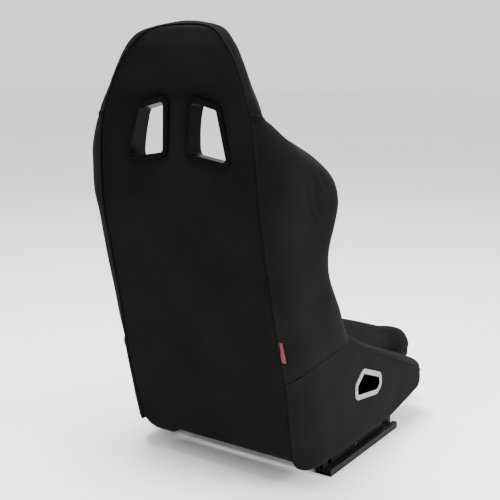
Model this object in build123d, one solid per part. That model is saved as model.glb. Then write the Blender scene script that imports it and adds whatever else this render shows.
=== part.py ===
from build123d import *
import math
import os

# Fixed-back racing seat on a pair of slider rails, in millimetres.
#
# +Z is up, +Y is the rear of the seat, +X is the occupant's left.  The origin is the centre
# of the four floor bolt holes, at floor level.  Left parts are made first and the right ones
# are their mirror images, except the sewn tag, which is on the right only.

# ---------------------------------------------------------------- slider rails
RAIL_X = 219.0            # rail centre line, each side of the seat
RAIL_LENGTH = 332.0
RAIL_WIDTH = 40.0
RAIL_HEIGHT = 16.0
RAIL_GAUGE = 2.5          # sheet thickness of the lower channel
SLOT_HALF = 8.0           # half the slot between the curled lips
CURL_DROP = 2.0           # how far each lip curls down at the slot
FLOOR_BOLT_Y = 140.0      # floor bolts, ahead of and behind the origin
FLOOR_HOLE_R = 4.25

BALL_R = 2.5
BALL_ROW_X = 10.0         # ball rows, each side of the rail centre
BALL_STEP = 30.0
BALL_COUNT = 7
BALL_SLACK = 0.025        # running clearance above and below a ball
CAGE_HALF_WIDTH = 13.0
CAGE_LENGTH = 200.0
CAGE_THICKNESS = 1.2

FLANGE_HALF = 14.0        # foot of the upper rail, under the lips
WEB_THICKNESS = 3.0
WEB_TOP = 27.0
END_BUMP_TOP = 28.0
END_DIP = 14.0
REAR_TAB = (87.0, 130.0)  # along Y
FRONT_TAB = (-122.0, -96.0)
FOOT_TOP = 57.3           # seat bolts clamp the foot to the frame's plates here
FOOT_INNER_X = 186.0
FOOT_THICKNESS = 3.0
SEAT_BOLT_X = 203.0

# ---------------------------------------------------------------- lock and release bar
NOTCH_PITCH = 10.0
NOTCH_WIDTH = 6.0
NOTCH_FIRST = -150.0
NOTCH_COUNT = 21
PIVOT_Y = 20.0
PIVOT_Z = 20.5
PIN_R = 2.5
LEVER_IN = 203.5          # lever plate, inner and outer face from the seat's middle
LEVER_OUT = 206.5
HELD_ANGLE = 4.2          # from locked up to the modelled pose, teeth clear of the notches
BAR_R = 5.0
BAR_X = LEVER_IN - BAR_R - 0.1
BAR_ROUTE = [(BAR_X, -25, 27), (BAR_X, -85, 30), (145, -150, 34), (145, -290, 48)]
BAR_BENDS = [35, 60, 35]
GRIP_R = 9.0
GRIP_LENGTH = 180.0

# ---------------------------------------------------------------- back and head
# The rear face on the centre line, as (Y, Z), from the bottom edge to the top of the head.
REAR_FACE = [(268, 62), (300, 200), (333, 350), (367, 500), (387, 600), (394, 680),
             (397, 760), (396, 830), (390, 890), (377, 935), (358, 958), (332, 965)]
# The front of the pads, from the top of the head down to the seat joint.
FRONT_FACE = [(332, 965), (306, 953), (295, 915), (308, 850), (333, 775), (335, 730),
              (320, 650), (294, 560), (255, 420), (212, 260), (198, 180), (195, 124)]
# Half widths of the back seen from behind, as (X, Z).
BACK_HALF = [(205, 62), (207, 400), (205, 760), (181, 835), (157, 886)]
HEAD_CROWN = [(157, 886), (137, 920), (110, 944), (66, 959), (0, 965)]
COVER = 5.0               # rear cover and its backing
CAVITY = 42.0             # from the rear face to the back pad, room for the tubes
PAD_HALF = 193.0
HEAD_SPLIT = 672.0        # joint between the back pad and the head pad
SOFT_GAP = 0.5

# ---------------------------------------------------------------- harness holes
HARNESS_OUTLINE = [(24, 823), (21, 699), (141, 680), (105, 803)]   # flange edge, (X, Z)
HARNESS_CORNER = 18.0
HARNESS_FLANGE = 9.0
HARNESS_WALL = 2.5
HARNESS_REAR_Y = 387.0    # rear flange's outer face at the middle of the hole
HARNESS_FRONT_Y = 353.0    # front flange, set back in a pocket in the pad
HARNESS_MID_Z = 750.0
HARNESS_LEAN = 4.0        # degrees, the head leans forward
FLANGE_THICKNESS = 5.0

# ---------------------------------------------------------------- base and bolsters
BASE_OUTER = 250.0        # side face of the base
BASE_INNER = 168.0        # inner face of the thigh bolsters
FRAME_ROOM_Z = 92.0       # under this height the base is left open for the frame
SKIRT_X = 226.0           # the side skirt that hangs outside the rails' brackets
CROTCH = (118, 301)       # where the torso side meets the thigh bolster
SEAM_REAR = (316, 270)
BASE_OUTLINE = [SEAM_REAR, CROTCH, (-236, 156), (-282, 130), (-289, 109), (-260, 88),
                (-193, 78), (-110, 58), (187, 55), (235, 46), (268, 55)]
WING_EDGE = [CROTCH, (147, 355), (196, 411), (226, 476), (215, 560), (210, 616),
             (222, 660), (254, 693), (303, 728), (345, 755), (400, 772)]
WING_TIP_X = 275.0
CUSHION_TOP = [(-340, 176), (-326, 194), (-300, 198), (-200, 176), (-80, 150), (60, 128),
               (192, 122)]
CUSHION_FRONT_LOW = 112.0

# ---------------------------------------------------------------- lap belt holes
BELT_OUTLINE = [(54, 220), (-34, 186), (-42, 155), (-17, 138), (89, 154), (92, 190)]
BELT_CORNER = 18.0
BELT_FLANGE = 9.0
BELT_WALL = 2.5
BELT_THICKNESS = 5.0
BELT_JOINT_X = 210.0      # where the outer and inner bezels' sleeves meet

# ---------------------------------------------------------------- frame
TUBE_R = 12.7
TUBE_WALL = 2.0
CROSS_R = 10.0
ROD_R = 6.0
TUBE_CLEAR = 0.4          # foam is cut this much wider than a tube
HOOP_ROUTE = [(178, 250, 74), (178, 364, 600), (174, 372, 705), (104, 362, 893)]
HOOP_BENDS = [120, 90, 45]
BASE_ROUTE = [(182, 245, 74), (182, -150, 74), (172, -235, 106)]
BASE_BENDS = [90, 45]
WING_ROD = [(182, 362, 640), (220, 325, 640), (232, 246, 606), (222, 264, 500),
            (207, 300, 428), (182, 327, 430)]
WING_BENDS = [25, 30, 35, 25]
THIGH_ROD = [(184, -190, 88), (222, -205, 132), (224, 60, 246), (210, 200, 256),
             (182, 286, 250)]
THIGH_BENDS = [30, 60, 60]
HEAD_TUBE_REACH = 118.0   # half length before its ends are shaped to the hoop
CROSS_HEIGHTS = {"lower_back_tube": 120.0, "lumbar_tube": 300.0,
                 "shoulder_tube": 655.0, "head_tube": 845.0}
PLATE_THICKNESS = 4.0
PLATE_LENGTH = 40.0
STRAP_THICKNESS = 2.0
STRAP_WIDTH = 40.0
STRAP_HALF = 164.0
SEAT_STRAPS = [-60, -5, 50, 150, 205]
BACK_STRAPS = [165, 210, 345, 390, 475, 520]
CLIP_GAUGE = 2.0
CLIP_WIDTH = 30.0

# ---------------------------------------------------------------- M8 seat bolts
BOLT_R = 4.0
HEAD_FLATS = 13.0
HEAD_HEIGHT = 5.3
WASHER_R = 8.0
WASHER_THICKNESS = 1.6
NUT_HEIGHT = 6.5
BOLT_TOP = 71.0
HOLE_R = 4.3

# ---------------------------------------------------------------- sewn tag
TAG_Z = 320.0             # middle of the tag
TAG_LENGTH = 45.0
TAG_WIDTH = 13.0
TAG_THICKNESS = 1.2


def rear_y(z):
    """Y of the rear face at height z, straight between the listed points."""
    for (y0, z0), (y1, z1) in zip(REAR_FACE, REAR_FACE[1:]):
        if z <= z1:
            return y0 + (y1 - y0) * (z - z0) / (z1 - z0)
    return REAR_FACE[-1][0]


def hoop_y(z):
    """Y of the back hoop's centre line at height z."""
    for (_, y0, z0), (_, y1, z1) in zip(HOOP_ROUTE, HOOP_ROUTE[1:]):
        if z <= z1:
            return y0 + (y1 - y0) * (z - z0) / (z1 - z0)
    return HOOP_ROUTE[-1][1]


def block(x0, x1, y0, y1, z0, z1):
    """A box given by its limits along each axis."""
    centre = Pos((x0 + x1) / 2, (y0 + y1) / 2, (z0 + z1) / 2)
    return centre * Box(x1 - x0, y1 - y0, z1 - z0)


def rod_along_x(radius, x0, x1, y, z):
    """A round bar parallel to X."""
    return Pos((x0 + x1) / 2, y, z) * Rot(0, 90, 0) * Cylinder(radius, x1 - x0)


def side_prism(face, x0, x1):
    """A (Y, Z) face pushed out along X."""
    return extrude(Plane.YZ.offset(x0) * face, amount=x1 - x0)


def rear_prism(face, y0, y1):
    """An (X, Z) face pushed out along Y."""
    return extrude(Plane((0, y1, 0), x_dir=(1, 0, 0), z_dir=(0, -1, 0)) * face, amount=y1 - y0)


def rounded(points, radius):
    """A polygon with every corner rounded."""
    face = make_face(Polyline(*points, close=True))
    return fillet(face.vertices(), radius)


def tube(route, bends, radius):
    """A round bar along straight runs joined by arcs."""
    path = FilletPolyline(*route, radius=bends)
    start = path.wire().position_at(0)
    heading = path.wire().tangent_at(0)
    return sweep(Plane(origin=start, z_dir=heading) * Circle(radius), path=path)


def hoop_bar(route, bends, radius):
    """A bar along the route, across the middle and back along its mirror image."""
    other_side = [(-x, y, z) for x, y, z in reversed(route)]
    return tube(route + other_side, bends + bends[::-1], radius)


def mirror_x(shape):
    """The same part for the other side of the seat."""
    return mirror(shape, about=Plane.YZ)


# ================================================================ slider rails
def lower_rail():
    half = RAIL_WIDTH / 2
    inner = half - RAIL_GAUGE
    lip_under = RAIL_HEIGHT - RAIL_GAUGE
    outline = [(-half, 0), (half, 0), (half, RAIL_HEIGHT), (SLOT_HALF, RAIL_HEIGHT),
               (SLOT_HALF, lip_under - CURL_DROP),
               (SLOT_HALF + RAIL_GAUGE, lip_under - CURL_DROP),
               (SLOT_HALF + RAIL_GAUGE, lip_under), (inner, lip_under), (inner, RAIL_GAUGE)]
    outline += [(-x, z) for x, z in reversed(outline[2:])]
    profile = make_face(Polyline(*outline, close=True))
    rail = Pos(RAIL_X, 0, 0) * rear_prism(profile, -RAIL_LENGTH / 2, RAIL_LENGTH / 2)
    for y in (-FLOOR_BOLT_Y, FLOOR_BOLT_Y):
        rail -= Pos(RAIL_X, y, RAIL_GAUGE / 2) * Cylinder(FLOOR_HOLE_R, 2 * RAIL_GAUGE)
    notch_in = RAIL_X - inner
    notch_out = RAIL_X - SLOT_HALF + 1
    for step in range(NOTCH_COUNT):
        y = NOTCH_FIRST + step * NOTCH_PITCH
        rail -= block(notch_in, notch_out, y - NOTCH_WIDTH / 2, y + NOTCH_WIDTH / 2,
                      lip_under - CURL_DROP - 1, RAIL_HEIGHT + 1)
    return rail


def flange_bottom():
    return RAIL_GAUGE + 2 * (BALL_R + BALL_SLACK)


def upper_rail():
    """An upright web with two tabs and feet, on a flat foot held under the lips."""
    end = RAIL_LENGTH / 2
    base = flange_bottom()
    bump = 16.0
    web_outline = [(-end, base), (end, base), (end, END_BUMP_TOP), (end - bump, END_BUMP_TOP),
                   (end - bump - 6, END_DIP), (REAR_TAB[1], END_DIP), (REAR_TAB[1], FOOT_TOP),
                   (REAR_TAB[0], FOOT_TOP), (REAR_TAB[0], WEB_TOP), (FRONT_TAB[1], WEB_TOP),
                   (FRONT_TAB[1], FOOT_TOP), (FRONT_TAB[0], FOOT_TOP), (FRONT_TAB[0], END_DIP),
                   (-end + bump + 6, END_DIP), (-end + bump, END_BUMP_TOP), (-end, END_BUMP_TOP)]
    web_in = RAIL_X - WEB_THICKNESS / 2
    web_out = RAIL_X + WEB_THICKNESS / 2
    rail = side_prism(make_face(Polyline(*web_outline, close=True)), web_in, web_out)
    rail += block(RAIL_X - FLANGE_HALF, RAIL_X + FLANGE_HALF, -end, end, base, base + RAIL_GAUGE)
    for low, high in (REAR_TAB, FRONT_TAB):
        rail += block(FOOT_INNER_X, web_in, low, high, FOOT_TOP - FOOT_THICKNESS, FOOT_TOP)
        rail -= Pos(SEAT_BOLT_X, (low + high) / 2, FOOT_TOP) * Cylinder(HOLE_R, 20)
    rail -= rod_along_x(PIN_R + 0.05, web_in - 1, web_out + 1, PIVOT_Y, PIVOT_Z)
    return rail


def ball_places():
    first = -(BALL_COUNT - 1) / 2 * BALL_STEP
    centre_z = RAIL_GAUGE + BALL_R + BALL_SLACK
    return [Pos(RAIL_X + side * BALL_ROW_X, first + step * BALL_STEP, centre_z)
            for side in (-1, 1) for step in range(BALL_COUNT)]


def rail_balls():
    return Compound([place * Sphere(BALL_R) for place in ball_places()])


def ball_cage():
    centre_z = RAIL_GAUGE + BALL_R + BALL_SLACK
    cage = Pos(RAIL_X, 0, centre_z) * Box(2 * CAGE_HALF_WIDTH, CAGE_LENGTH, CAGE_THICKNESS)
    for place in ball_places():
        cage -= place * Cylinder(BALL_R + 0.1, 2 * CAGE_THICKNESS)
    return cage


def rail_stops():
    """Rivets in the channel floor that stop the ball cages, two for each rail."""
    stop_y = RAIL_LENGTH / 2 - 6
    return Compound([Pos(x, y, RAIL_GAUGE + 2) * Cylinder(3, 4)
                     for x in (-RAIL_X, RAIL_X) for y in (-stop_y, stop_y)])


# ================================================================ lock and release bar
def lock_lever():
    """A toothed plate, drawn in its locked pose and then raised by HELD_ANGLE."""
    tooth_tip = 12.2
    plate_low = 17.0
    comb = side_prism(rounded([(-68, plate_low), (-32, plate_low), (PIVOT_Y, 16.8),
                               (PIVOT_Y, 24.2), (-30, 27), (-68, 27)], 0.8), LEVER_IN, LEVER_OUT)
    comb += rod_along_x(4.3, LEVER_IN, LEVER_OUT, PIVOT_Y, PIVOT_Z)
    for y in (-60, -50, -40):
        comb += block(LEVER_IN, LEVER_OUT, y - 2.2, y + 2.2, tooth_tip, plate_low + 1)
    comb -= rod_along_x(PIN_R + 0.05, LEVER_IN - 1, LEVER_OUT + 1, PIVOT_Y, PIVOT_Z)
    pivot = Axis((0, PIVOT_Y, PIVOT_Z), (1, 0, 0))
    return comb.rotate(pivot, -HELD_ANGLE)


def bar_grip():
    _, y, z = BAR_ROUTE[-1]
    grip = rod_along_x(GRIP_R, -GRIP_LENGTH / 2, GRIP_LENGTH / 2, y, z)
    grip = fillet(grip.edges().filter_by(GeomType.CIRCLE), 3)
    return grip - rod_along_x(BAR_R + 0.02, -GRIP_LENGTH, GRIP_LENGTH, y, z)


def lever_pin():
    pin = rod_along_x(PIN_R, LEVER_IN - 3, RAIL_X + 3.5, PIVOT_Y, PIVOT_Z)
    pin += rod_along_x(4.2, LEVER_IN - 3, LEVER_IN - 0.3, PIVOT_Y, PIVOT_Z)
    pin += rod_along_x(4.2, RAIL_X + WEB_THICKNESS / 2, RAIL_X + 3.5, PIVOT_Y, PIVOT_Z)
    return pin


def lever_bush():
    low = LEVER_OUT + 0.2
    high = RAIL_X - WEB_THICKNESS / 2
    bush = rod_along_x(4.2, low, high, PIVOT_Y, PIVOT_Z)
    return bush - rod_along_x(PIN_R + 0.03, low - 1, high + 1, PIVOT_Y, PIVOT_Z)


def return_spring():
    """Three turns of wire round the bush that push the lever down into the notches."""
    wire_r = 0.7
    coil = Helix(pitch=1.6, height=4.0, radius=5.2)
    start = Plane(origin=coil.position_at(0), z_dir=coil.tangent_at(0))
    spring = sweep(start * Circle(wire_r), path=coil, is_frenet=True)
    return Pos(212.4, PIVOT_Y, PIVOT_Z) * Rot(0, 90, 0) * spring


def spring_post():
    """The rivet that the spring's leg hooks on."""
    post = rod_along_x(2.0, RAIL_X - 9, RAIL_X - WEB_THICKNESS / 2, -10, 21)
    return post + rod_along_x(3.2, RAIL_X - 10, RAIL_X - 9, -10, 21)


# ================================================================ frame
def cross_tube(height, wide_hoop):
    """A straight tube between the hoop's legs, its ends shaped to them."""
    reach = HOOP_ROUTE[0][0] if height < HOOP_ROUTE[2][2] else HEAD_TUBE_REACH
    bar = rod_along_x(CROSS_R, -reach, reach, hoop_y(height), height)
    bore = rod_along_x(CROSS_R - TUBE_WALL, -reach, reach, hoop_y(height), height)
    return bar - bore - wide_hoop


def hollow_hoop(route, bends):
    return hoop_bar(route, bends, TUBE_R) - hoop_bar(route, bends, TUBE_R - TUBE_WALL)




def bolt_places():
    middles = [sum(REAR_TAB) / 2, sum(FRONT_TAB) / 2]
    return [(side * SEAT_BOLT_X, y) for side in (-1, 1) for y in middles]


def mount_plates():
    low = FOOT_TOP
    plates = []
    for x, y in bolt_places():
        side = math.copysign(1, x)
        inner, outer = sorted((side * BASE_INNER, side * (SEAT_BOLT_X + 13)))
        plate = block(inner, outer, y - PLATE_LENGTH / 2, y + PLATE_LENGTH / 2,
                      low, low + PLATE_THICKNESS)
        plates.append(plate - Pos(x, y, low) * Cylinder(HOLE_R, 20))
    return Compound(plates)


def hexagon(flats, height):
    return extrude(RegularPolygon(flats / 2, 6, major_radius=False), amount=height)


def weld_nuts():
    low = FOOT_TOP + PLATE_THICKNESS
    nut = hexagon(HEAD_FLATS, NUT_HEIGHT) - Cylinder(BOLT_R + 0.05, 40)
    return Compound([Pos(x, y, low) * nut for x, y in bolt_places()])


def bolt_washers():
    low = FOOT_TOP - FOOT_THICKNESS - WASHER_THICKNESS
    washer = Cylinder(WASHER_R, WASHER_THICKNESS) - Cylinder(HOLE_R, 10)
    return Compound([Pos(x, y, low + WASHER_THICKNESS / 2) * washer for x, y in bolt_places()])


def seat_bolts():
    low = FOOT_TOP - FOOT_THICKNESS - WASHER_THICKNESS - HEAD_HEIGHT
    shank = BOLT_TOP - low - HEAD_HEIGHT
    bolt = hexagon(HEAD_FLATS, HEAD_HEIGHT)
    bolt += Pos(0, 0, HEAD_HEIGHT + shank / 2) * Cylinder(BOLT_R, shank)
    return Compound([Pos(x, y, low) * bolt for x, y in bolt_places()])


def strap_clip():
    """A sheet hook over the outer side of a tube whose axis is Y."""
    inner = TUBE_R + 0.2
    ring = Cylinder(inner + CLIP_GAUGE, CLIP_WIDTH) - Cylinder(inner, CLIP_WIDTH)
    opening = Pos(-TUBE_R * 1.45, -TUBE_R * 0.6, 0) * Box(2 * TUBE_R, 2 * TUBE_R, 2 * CLIP_WIDTH)
    return Rot(90, 0, 0) * (ring - opening)


def seat_strap_places():
    return [Pos(0, y, BASE_ROUTE[0][2]) for y in SEAT_STRAPS]


def back_strap_places():
    lean = math.degrees(math.atan2(HOOP_ROUTE[1][1] - HOOP_ROUTE[0][1],
                                   HOOP_ROUTE[1][2] - HOOP_ROUTE[0][2]))
    return [Pos(0, hoop_y(z), z) * Rot(90 - lean, 0, 0) for z in BACK_STRAPS]


def straps(places):
    """Elastic webbing that carries the foam between the two sides of the frame."""
    return Compound([place * Pos(0, 0, 7) * Box(2 * STRAP_HALF, STRAP_WIDTH, STRAP_THICKNESS)
                     for place in places])


def strap_clips():
    clips = []
    for places, tube_x in ((seat_strap_places(), BASE_ROUTE[0][0]),
                           (back_strap_places(), HOOP_ROUTE[0][0])):
        for place in places:
            for turn in (0, 180):
                clips.append(place * Rot(0, 0, turn) * Pos(tube_x, 0, 0) * strap_clip())
    return Compound(clips)


# ================================================================ pads and cover
def back_section(shift=0.0):
    """The back and head cut along the middle, moved forward by shift."""
    rear = Spline(*[(y - shift, z) for y, z in REAR_FACE])
    front = Spline(*[(y - shift, z) for y, z in FRONT_FACE])
    bottom = Polyline((FRONT_FACE[-1][0] - shift, FRONT_FACE[-1][1]),
                      (FRONT_FACE[-1][0] - shift, REAR_FACE[0][1]),
                      (REAR_FACE[0][0] - shift, REAR_FACE[0][1]))
    return make_face(rear + front + bottom)


def back_outline():
    """The back and head seen from behind."""
    right = Polyline(*BACK_HALF)
    left = Polyline(*[(-x, z) for x, z in BACK_HALF])
    crown = Spline(*HEAD_CROWN, *[(-x, z) for x, z in reversed(HEAD_CROWN[:-1])])
    foot = Line((-BACK_HALF[0][0], BACK_HALF[0][1]), BACK_HALF[0])
    return make_face(right + crown + left + foot)


def back_block(shift):
    """Everything between the side walls of the back, ahead of the rear face by shift."""
    reach = BACK_HALF[1][0] + 10
    shape = side_prism(back_section(), -reach, reach)
    if shift:
        shape &= side_prism(back_section(shift), -reach, reach)
    return shape & rear_prism(back_outline(), 100, 500)


def rear_cover(holes):
    reach = BACK_HALF[1][0] + 10
    shape = side_prism(back_section() - back_section(COVER), -reach, reach)
    shape &= rear_prism(back_outline(), 100, 500)
    shape &= block(-reach, reach, 200, 500, REAR_FACE[0][1], 930)
    return shape - holes


def back_pad(cutters):
    pad = back_block(CAVITY)
    pad &= block(-PAD_HALF, PAD_HALF, 100, 500, FRONT_FACE[-1][1] + 2, HEAD_SPLIT - SOFT_GAP)
    return pad - cutters


def headrest_pad(holes, cutters):
    pad = back_block(COVER + SOFT_GAP)
    pad &= block(-PAD_HALF, PAD_HALF, 100, 500, HEAD_SPLIT, 1000)
    return pad - holes - cutters


def wing_cut_plane():
    """The torso side's outer face: it opens from the back's edge to the wing's tip."""
    foot = Vector(BACK_HALF[0][0], REAR_FACE[0][0], REAR_FACE[0][1])
    top = Vector(BACK_HALF[0][0] + 2, REAR_FACE[4][0], REAR_FACE[4][1])
    tip = Vector(WING_TIP_X, *WING_EDGE[5])
    return Plane(origin=foot, z_dir=(top - foot).cross(tip - foot))


def torso_bolster(cutters):
    edge = Spline(*WING_EDGE)
    rear = Polyline(WING_EDGE[-1], (420, WING_EDGE[-1][1]), (420, SEAM_REAR[1]),
                    SEAM_REAR, CROTCH)
    shape = side_prism(make_face(edge + rear), PAD_HALF + SOFT_GAP, WING_TIP_X + 20)
    shape &= side_prism(side_space(), PAD_HALF, WING_TIP_X + 20)
    shape = split(shape, bisect_by=wing_cut_plane(), keep=Keep.BOTTOM)
    return shape - cutters


def side_space():
    """All the room ahead of the back's rear face, in the (Y, Z) plane."""
    front = CUSHION_TOP[0][0]
    rear = [(y - COVER - SOFT_GAP, z) for y, z in REAR_FACE[:7]]
    corners = [(front, 0), (rear[0][0] - 6, 0), *rear, (front, rear[-1][1])]
    return make_face(Polyline(*corners, close=True))


def thigh_bolster(cutters):
    lowered = [(y, z - SOFT_GAP) if (y, z) in (CROTCH, SEAM_REAR) else (y, z)
               for y, z in BASE_OUTLINE]
    face = make_face(Polyline(*lowered, close=True))
    nose = face.vertices().filter_by_position(Axis.X, -300, -230)
    face = fillet(nose, 12)
    shape = side_prism(face, BASE_INNER, BASE_OUTER)
    shape &= side_prism(side_space(), BASE_INNER, BASE_OUTER)
    plan = make_face(Polyline((BASE_INNER, -300), (232, -300), (BASE_OUTER, -250),
                              (BASE_OUTER, 180), (222, 300), (BASE_INNER, 300), close=True))
    shape &= extrude(plan, amount=400)
    shape -= block(0, SKIRT_X, -250, 400, 0, FRAME_ROOM_Z)
    shape -= block(0, PAD_HALF + SOFT_GAP, FRONT_FACE[-1][0] - 5, 400, 0, 400)
    return shape - cutters


def seat_cushion(cutters):
    top = Spline(*CUSHION_TOP)
    rim = Polyline(CUSHION_TOP[-1], (CUSHION_TOP[-1][0], FRAME_ROOM_Z), (-290, FRAME_ROOM_Z),
                   (CUSHION_TOP[0][0] + 6, CUSHION_FRONT_LOW), CUSHION_TOP[0])
    half = BASE_INNER - BELT_THICKNESS - SOFT_GAP
    return side_prism(make_face(top + rim), -half, half) - cutters


# ================================================================ bezels
def lean_forward(shape):
    axis = Axis((0, (HARNESS_REAR_Y + HARNESS_FRONT_Y) / 2, HARNESS_MID_Z), (1, 0, 0))
    return shape.rotate(axis, HARNESS_LEAN)


def harness_ring(inset):
    return offset(rounded(HARNESS_OUTLINE, HARNESS_CORNER), -inset)


def harness_cutter():
    """The hole that the pads and the cover need for one sleeve and its two flanges."""
    hole = rear_prism(harness_ring(HARNESS_FLANGE - SOFT_GAP), 200, 500)
    for y0, y1 in ((200, HARNESS_FRONT_Y + FLANGE_THICKNESS),
                   (HARNESS_REAR_Y - FLANGE_THICKNESS, 500)):
        hole += rear_prism(harness_ring(-SOFT_GAP), y0, y1)
    return lean_forward(hole)


def harness_bezel(outer_y):
    """A flange and half of the sleeve, from outer_y to the middle of the back."""
    middle = (HARNESS_REAR_Y + HARNESS_FRONT_Y) / 2
    rear = outer_y > middle
    flange_in = outer_y - FLANGE_THICKNESS if rear else outer_y + FLANGE_THICKNESS
    flange = rear_prism(harness_ring(0), *sorted((outer_y, flange_in)))
    sleeve = rear_prism(harness_ring(HARNESS_FLANGE), *sorted((outer_y, middle)))
    hole = rear_prism(harness_ring(HARNESS_FLANGE + HARNESS_WALL), 200, 500)
    return lean_forward(flange + sleeve - hole)


def belt_ring(inset):
    return offset(rounded(BELT_OUTLINE, BELT_CORNER), -inset)


def belt_cutter():
    return side_prism(belt_ring(BELT_FLANGE - SOFT_GAP), BASE_INNER - 20, BASE_OUTER + 20)


def belt_bezel(flange_x, step):
    """A flange on one face of the bolster and a sleeve to the joint inside it."""
    flange = side_prism(belt_ring(0), *sorted((flange_x, flange_x + step)))
    sleeve = side_prism(belt_ring(BELT_FLANGE), *sorted((flange_x, BELT_JOINT_X)))
    hole = side_prism(belt_ring(BELT_FLANGE + BELT_WALL), BASE_INNER - 30, BASE_OUTER + 30)
    return flange + sleeve - hole


def side_tag():
    """A folded label sewn in the right rear seam, lying forward over the side."""
    side = wing_cut_plane()
    along = Vector(0, rear_y(TAG_Z + 1) - rear_y(TAG_Z), 1).normalized()
    seam = Vector(BACK_HALF[0][0] + 1, rear_y(TAG_Z), TAG_Z)
    forward = side.z_dir.cross(along)
    if forward.Y > 0:
        forward = forward * -1
    middle = seam + forward * (TAG_WIDTH / 2) + side.z_dir * (TAG_THICKNESS + 0.4)
    tag = Plane(origin=middle, x_dir=along, z_dir=side.z_dir) * Box(TAG_LENGTH, TAG_WIDTH, TAG_THICKNESS)
    return mirror_x(tag)


# ================================================================ assembly
def build_parts():
    parts = {}
    full_hoop = hoop_bar(HOOP_ROUTE, HOOP_BENDS, TUBE_R)
    full_base = hoop_bar(BASE_ROUTE, BASE_BENDS, TUBE_R)
    wing = tube(WING_ROD, WING_BENDS, ROD_R) - full_hoop
    thigh = tube(THIGH_ROD, THIGH_BENDS, ROD_R) - full_hoop - full_base
    wide_hoop = hoop_bar(HOOP_ROUTE, HOOP_BENDS, TUBE_R + TUBE_CLEAR)
    wide_base = hoop_bar(BASE_ROUTE, BASE_BENDS, TUBE_R + TUBE_CLEAR)
    wide_wing = tube(WING_ROD, WING_BENDS, ROD_R + TUBE_CLEAR)
    wide_thigh = tube(THIGH_ROD, THIGH_BENDS, ROD_R + TUBE_CLEAR)
    wide_rods = wide_wing + wide_thigh
    head_z = CROSS_HEIGHTS["head_tube"]
    head_bar = rod_along_x(CROSS_R + TUBE_CLEAR, -HEAD_TUBE_REACH, HEAD_TUBE_REACH,
                           hoop_y(head_z), head_z)
    harness_holes = harness_cutter() + mirror_x(harness_cutter())

    parts["back_hoop"] = hollow_hoop(HOOP_ROUTE, HOOP_BENDS)
    parts["base_hoop"] = hollow_hoop(BASE_ROUTE, BASE_BENDS) - full_hoop
    for name, height in CROSS_HEIGHTS.items():
        parts[name] = cross_tube(height, full_hoop)
    parts["mount_plates"] = mount_plates()
    parts["weld_nuts"] = weld_nuts()
    parts["seat_bolts"] = seat_bolts()
    parts["bolt_washers"] = bolt_washers()
    parts["seat_straps"] = straps(seat_strap_places())
    parts["back_straps"] = straps(back_strap_places())
    parts["strap_clips"] = strap_clips()
    parts["rail_stops"] = rail_stops()
    parts["release_bar"] = hoop_bar(BAR_ROUTE, BAR_BENDS, BAR_R)
    parts["bar_grip"] = bar_grip()
    parts["rear_cover"] = rear_cover(harness_holes)
    parts["back_pad"] = back_pad(wide_hoop + wide_rods + mirror_x(wide_rods))
    parts["headrest_pad"] = headrest_pad(harness_holes, wide_hoop + head_bar)
    parts["seat_cushion"] = seat_cushion(wide_base)
    parts["side_tag"] = side_tag()
    for name, maker in (("lever_pins", lever_pin), ("lever_bushes", lever_bush),
                        ("return_springs", return_spring), ("spring_posts", spring_post)):
        left = maker()
        parts[name] = Compound([left, mirror_x(left)])

    left_parts = {
        "lower_rail": lower_rail(),
        "upper_rail": upper_rail(),
        "rail_balls": rail_balls(),
        "ball_cage": ball_cage(),
        "lock_lever": lock_lever(),
        "wing_frame": wing,
        "thigh_frame": thigh,
        "torso_bolster": torso_bolster(wide_wing + wide_hoop),
        "thigh_bolster": thigh_bolster(belt_cutter() + wide_thigh + wide_base),
        "harness_bezel_rear": harness_bezel(HARNESS_REAR_Y),
        "harness_bezel_front": harness_bezel(HARNESS_FRONT_Y),
        "belt_bezel_outer": belt_bezel(BASE_OUTER, BELT_THICKNESS),
        "belt_bezel_inner": belt_bezel(BASE_INNER, -BELT_THICKNESS),
    }
    for name, part in left_parts.items():
        parts[name + "_left"] = part
        parts[name + "_right"] = mirror_x(part)
    return parts


os.makedirs("parts", exist_ok=True)
for node, shape in build_parts().items():
    export_step(shape, f"parts/{node}.step")
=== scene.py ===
"""Looks of the fixed-back racing seat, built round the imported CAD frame.

The frame's axes hold here too: +Z up, +Y the rear of the seat, +X the occupant's left.
Tables of control points are in millimetres, for the left half; the right is mirrored.
"""
import math

import bmesh
import bpy
import numpy as np
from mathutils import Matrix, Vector, noise


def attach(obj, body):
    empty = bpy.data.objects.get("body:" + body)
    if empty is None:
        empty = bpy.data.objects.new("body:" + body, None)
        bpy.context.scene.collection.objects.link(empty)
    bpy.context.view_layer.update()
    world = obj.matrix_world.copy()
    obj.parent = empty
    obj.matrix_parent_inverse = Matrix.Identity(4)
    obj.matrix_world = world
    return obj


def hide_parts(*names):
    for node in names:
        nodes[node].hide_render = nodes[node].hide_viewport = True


MM = 0.001
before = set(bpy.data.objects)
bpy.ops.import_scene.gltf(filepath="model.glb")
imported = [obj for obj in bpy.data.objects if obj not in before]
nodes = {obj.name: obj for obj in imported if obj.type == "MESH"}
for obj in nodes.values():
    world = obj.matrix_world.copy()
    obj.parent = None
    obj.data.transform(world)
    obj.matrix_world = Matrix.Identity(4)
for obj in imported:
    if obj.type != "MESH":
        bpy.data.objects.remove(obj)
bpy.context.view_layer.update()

# ------------------------------------------------------------------ shape tables
# Rear face at the back's edge, as (z, y), and how far its middle is drawn in, as (z, depth).
REAR_Y = [(40, 264), (62, 269), (200, 300), (350, 333), (500, 366), (600, 386), (680, 393),
          (760, 395), (813, 392.5), (839, 390), (868, 387), (893, 384), (918, 380), (940, 372),
          (952, 365), (957, 358)]
DISH = [(40, 0), (600, 0), (650, 1.5), (680, 4.5), (700, 7.5), (760, 15), (800, 18),
        (823, 17.5), (838, 10.5), (855, 8), (890, 5), (925, 1.5), (957, 0)]
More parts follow.
